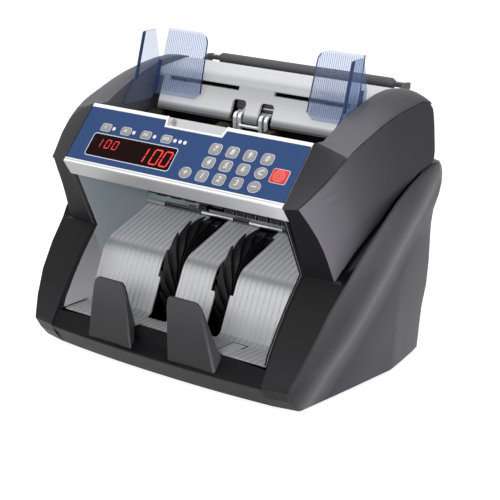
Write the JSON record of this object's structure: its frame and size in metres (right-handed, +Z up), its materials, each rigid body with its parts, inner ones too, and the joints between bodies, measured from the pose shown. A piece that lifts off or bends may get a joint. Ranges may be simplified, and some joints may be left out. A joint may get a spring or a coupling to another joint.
{
  "type": "banknote counting machine",
  "caption": "Desktop banknote counter with sloped keypad and display panel, top hopper with sliding note guides, fan-wheel stacker pocket with two note stops, and folding carry handle.",
  "frame": {"origin": "centre of the overall bounding box in plan, on the plane the four feet rest on", "axes": "+X to the machine's own right seen from behind, that is, to the right of somebody at the keypad; +Y from the front with the note pocket to the rear cover; +Z up"},
  "size_m": [0.3126, 0.2168, 0.2595],
  "materials": {
    "charcoal": "satin moulded, charcoal",
    "grey_cap": "satin moulded, mid grey",
    "black": "satin moulded, black",
    "liner": "satin moulded, blue-grey",
    "silver": "silver coated",
    "overlay": "semi-gloss printed film, blue",
    "key": "fine-textured, grey",
    "red_key": "fine-textured, red",
    "smoke": "polished tinted window",
    "ribbed": "ribbed, satin",
    "chrome": "polished",
    "stop": "satin moulded, dark grey",
    "guide": "clear, pale blue",
    "rubber": "matt black",
    "steel": "plain zinc-plated",
    "board": "printed board green",
    "core_iron": "varnished laminations and winding"
  },
  "bodies": {
    "housing": {"side_cap_right": "grey_cap", "side_cap_left": "grey_cap", "side_shell_right": "charcoal", "side_shell_left": "charcoal", "side_skirt_right": "charcoal", "side_skirt_left": "charcoal", "base_tray": "black", "note_stop_right": "stop", "note_stop_left": "stop", "stacker_plate": "ribbed", "stacker_liner": "liner", "exit_guide": "chrome", "sensor_bar": "black", "panel_bezel": "silver", "panel_overlay": "overlay", "display_window": "smoke", "control_board": "board", "hopper_plate": "silver", "hopper_floor": "black", "hopper_fingers": "chrome", "frame_plate_right": "steel", "frame_plate_left": "steel", "main_motor": "steel", "feed_belt": "rubber", "stacker_belt": "rubber", "power_supply": "core_iron", "rear_cover": "charcoal", "power_inlet": "black", "foot_front_right": "rubber", "foot_front_left": "rubber", "foot_rear_right": "rubber", "foot_rear_left": "rubber"},
    "stacker": {"stacker_shaft": "steel", "stacker_wheel_right": "rubber", "stacker_wheel_left": "rubber"},
    "feed": {"feed_roller": "rubber"},
    "pickup": {"pickup_roller": "rubber"},
    "motor_drive": {"motor_pulley": "steel"},
    "guide_right": {"note_guide_right": "guide"},
    "guide_left": {"note_guide_left": "guide"},
    "handle": {"carry_handle": "stop"},
    "switch": {"power_switch": "black"},
    "button_7": {"key_7": "key"},
    "button_8": {"key_8": "key"},
    "button_9": {"key_9": "key"},
    "button_0": {"key_0": "key"},
    "button_4": {"key_4": "key"},
    "button_5": {"key_5": "key"},
    "button_6": {"key_6": "key"},
    "button_clear": {"key_clear": "key"},
    "button_1": {"key_1": "key"},
    "button_2": {"key_2": "key"},
    "button_3": {"key_3": "key"},
    "button_batch": {"key_batch": "key"},
    "button_add": {"key_add": "key"},
    "button_restart": {"key_restart": "red_key"},
    "button_function_1": {"key_function_1": "key"},
    "button_function_2": {"key_function_2": "key"},
    "button_function_3": {"key_function_3": "key"},
    "button_function_4": {"key_function_4": "key"}
  },
  "joints": [
    {"name": "feed_roller_spin", "type": "hinge", "parent": "housing", "child": "feed", "pos_m": [0, 0.02343, 0.1764], "axis": [1, 0, 0], "continuous": true},
    {"name": "pickup_roller_spin", "type": "hinge", "parent": "housing", "child": "pickup", "pos_m": [0, -0.00758, 0.18], "axis": [1, 0, 0], "continuous": true},
    {"name": "stacker_spin", "type": "hinge", "parent": "housing", "child": "stacker", "pos_m": [0, -0.00118, 0.0582], "axis": [1, 0, 0], "continuous": true},
    {"name": "motor_spin", "type": "hinge", "parent": "housing", "child": "motor_drive", "pos_m": [0, 0.06442, 0.048], "axis": [1, 0, 0], "continuous": true},
    {"name": "guide_right_slide", "type": "slide", "parent": "housing", "child": "guide_right", "axis": [-1, 0, 0], "range_m": [0, 0.052]},
    {"name": "guide_left_slide", "type": "slide", "parent": "housing", "child": "guide_left", "axis": [1, 0, 0], "range_m": [0, 0.052]},
    {"name": "handle_fold", "type": "hinge", "parent": "housing", "child": "handle", "pos_m": [0, 0.08543, 0.213], "axis": [1, 0, 0], "range_deg": [0, 50]},
    {"name": "switch_rock", "type": "hinge", "parent": "housing", "child": "switch", "pos_m": [0.036, 0.09442, 0.034], "axis": [1, 0, 0], "range_deg": [0, 12]},
    {"name": "key_7_press", "type": "slide", "parent": "housing", "child": "button_7", "axis": [0, 0.7385, -0.6743], "range_m": [0, 0.0006], "stiffness_N_per_m": 600, "springref_m": -0.0005},
    {"name": "key_8_press", "type": "slide", "parent": "housing", "child": "button_8", "axis": [0, 0.7385, -0.6743], "range_m": [0, 0.0006], "stiffness_N_per_m": 600, "springref_m": -0.0005},
    {"name": "key_9_press", "type": "slide", "parent": "housing", "child": "button_9", "axis": [0, 0.7385, -0.6743], "range_m": [0, 0.0006], "stiffness_N_per_m": 600, "springref_m": -0.0005},
    {"name": "key_0_press", "type": "slide", "parent": "housing", "child": "button_0", "axis": [0, 0.7385, -0.6743], "range_m": [0, 0.0006], "stiffness_N_per_m": 600, "springref_m": -0.0005},
    {"name": "key_4_press", "type": "slide", "parent": "housing", "child": "button_4", "axis": [0, 0.7385, -0.6743], "range_m": [0, 0.0006], "stiffness_N_per_m": 600, "springref_m": -0.0005},
    {"name": "key_5_press", "type": "slide", "parent": "housing", "child": "button_5", "axis": [0, 0.7385, -0.6743], "range_m": [0, 0.0006], "stiffness_N_per_m": 600, "springref_m": -0.0005},
    {"name": "key_6_press", "type": "slide", "parent": "housing", "child": "button_6", "axis": [0, 0.7385, -0.6743], "range_m": [0, 0.0006], "stiffness_N_per_m": 600, "springref_m": -0.0005},
    {"name": "key_clear_press", "type": "slide", "parent": "housing", "child": "button_clear", "axis": [0, 0.7385, -0.6743], "range_m": [0, 0.0006], "stiffness_N_per_m": 600, "springref_m": -0.0005},
    {"name": "key_1_press", "type": "slide", "parent": "housing", "child": "button_1", "axis": [0, 0.7385, -0.6743], "range_m": [0, 0.0006], "stiffness_N_per_m": 600, "springref_m": -0.0005},
    {"name": "key_2_press", "type": "slide", "parent": "housing", "child": "button_2", "axis": [0, 0.7385, -0.6743], "range_m": [0, 0.0006], "stiffness_N_per_m": 600, "springref_m": -0.0005},
    {"name": "key_3_press", "type": "slide", "parent": "housing", "child": "button_3", "axis": [0, 0.7385, -0.6743], "range_m": [0, 0.0006], "stiffness_N_per_m": 600, "springref_m": -0.0005},
    {"name": "key_batch_press", "type": "slide", "parent": "housing", "child": "button_batch", "axis": [0, 0.7385, -0.6743], "range_m": [0, 0.0006], "stiffness_N_per_m": 600, "springref_m": -0.0005},
    {"name": "key_add_press", "type": "slide", "parent": "housing", "child": "button_add", "axis": [0, 0.7385, -0.6743], "range_m": [0, 0.0006], "stiffness_N_per_m": 600, "springref_m": -0.0005},
    {"name": "key_restart_press", "type": "slide", "parent": "housing", "child": "button_restart", "axis": [0, 0.7385, -0.6743], "range_m": [0, 0.0006], "stiffness_N_per_m": 600, "springref_m": -0.0005},
    {"name": "key_function_1_press", "type": "slide", "parent": "housing", "child": "button_function_1", "axis": [0, 0.7385, -0.6743], "range_m": [0, 0.0006], "stiffness_N_per_m": 600, "springref_m": -0.0005},
    {"name": "key_function_2_press", "type": "slide", "parent": "housing", "child": "button_function_2", "axis": [0, 0.7385, -0.6743], "range_m": [0, 0.0006], "stiffness_N_per_m": 600, "springref_m": -0.0005},
    {"name": "key_function_3_press", "type": "slide", "parent": "housing", "child": "button_function_3", "axis": [0, 0.7385, -0.6743], "range_m": [0, 0.0006], "stiffness_N_per_m": 600, "springref_m": -0.0005},
    {"name": "key_function_4_press", "type": "slide", "parent": "housing", "child": "button_function_4", "axis": [0, 0.7385, -0.6743], "range_m": [0, 0.0006], "stiffness_N_per_m": 600, "springref_m": -0.0005}
  ],
  "couplings": [
    {"joint": "pickup_roller_spin", "follows": "feed_roller_spin", "ratio": 1.0833},
    {"joint": "stacker_spin", "follows": "feed_roller_spin", "ratio": 0.6},
    {"joint": "motor_spin", "follows": "feed_roller_spin", "ratio": 1.5}
  ]
}
